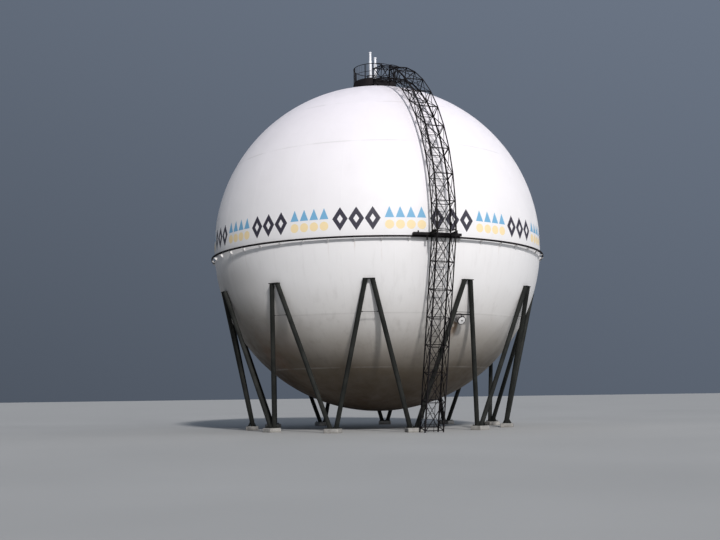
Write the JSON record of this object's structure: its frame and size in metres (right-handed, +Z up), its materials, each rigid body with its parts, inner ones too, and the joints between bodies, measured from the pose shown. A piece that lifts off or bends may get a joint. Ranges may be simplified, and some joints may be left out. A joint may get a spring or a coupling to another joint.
{
  "type": "spherical gas tank",
  "caption": "Welded steel sphere for gas, held on slanting tubular leg pairs with concrete footings, a rail ring, a climbing gantry with landing and a railed crown platform",
  "frame": {"origin": "on the floor, under the middle of the tank's box in plan; the sphere's axis lies 0.249 m behind it", "axes": "+Z up and the longest extent; the gantry side faces -Y, turned 21.6 degrees towards +X"},
  "size_m": [21.6, 22.0984, 25.15],
  "materials": {
    "white_shell": "weathered white paint",
    "soiled_shell": "white paint soiled grey and brown",
    "dark_steel": "dark charcoal paint",
    "footing_concrete": "bare concrete",
    "vent_white": "white paint"
  },
  "bodies": {
    "root": {"bottom_cap": "soiled_shell", "lower_belt": "soiled_shell", "equator_belt": "white_shell", "upper_belt": "white_shell", "crown_cap": "white_shell", "leg_01_left": "dark_steel", "leg_01_right": "dark_steel", "leg_02_left": "dark_steel", "leg_02_right": "dark_steel", "leg_03_left": "dark_steel", "leg_03_right": "dark_steel", "leg_04_left": "dark_steel", "leg_04_right": "dark_steel", "leg_05_left": "dark_steel", "leg_05_right": "dark_steel", "leg_06_left": "dark_steel", "leg_06_right": "dark_steel", "leg_07_left": "dark_steel", "leg_07_right": "dark_steel", "leg_08_left": "dark_steel", "leg_08_right": "dark_steel", "leg_09_left": "dark_steel", "leg_09_right": "dark_steel", "leg_10_left": "dark_steel", "leg_10_right": "dark_steel", "leg_11_left": "dark_steel", "leg_11_right": "dark_steel", "footing_01": "footing_concrete", "footing_02": "footing_concrete", "footing_03": "footing_concrete", "footing_04": "footing_concrete", "footing_05": "footing_concrete", "footing_06": "footing_concrete", "footing_07": "footing_concrete", "footing_08": "footing_concrete", "footing_09": "footing_concrete", "footing_10": "footing_concrete", "footing_11": "footing_concrete", "ring_rail": "dark_steel", "gantry_lower_left_side": "dark_steel", "gantry_lower_right_side": "dark_steel", "gantry_lower_outer_face": "dark_steel", "gantry_lower_ladder": "dark_steel", "gantry_arch_left_side": "dark_steel", "gantry_arch_right_side": "dark_steel", "gantry_arch_outer_face": "dark_steel", "gantry_arch_ladder": "dark_steel", "ring_landing": "dark_steel", "crown_deck": "dark_steel", "platform_railing": "dark_steel", "vent_tall": "vent_white", "vent_short": "vent_white", "manway_neck": "white_shell", "manway_cover": "dark_steel"}
  },
  "joints": []
}
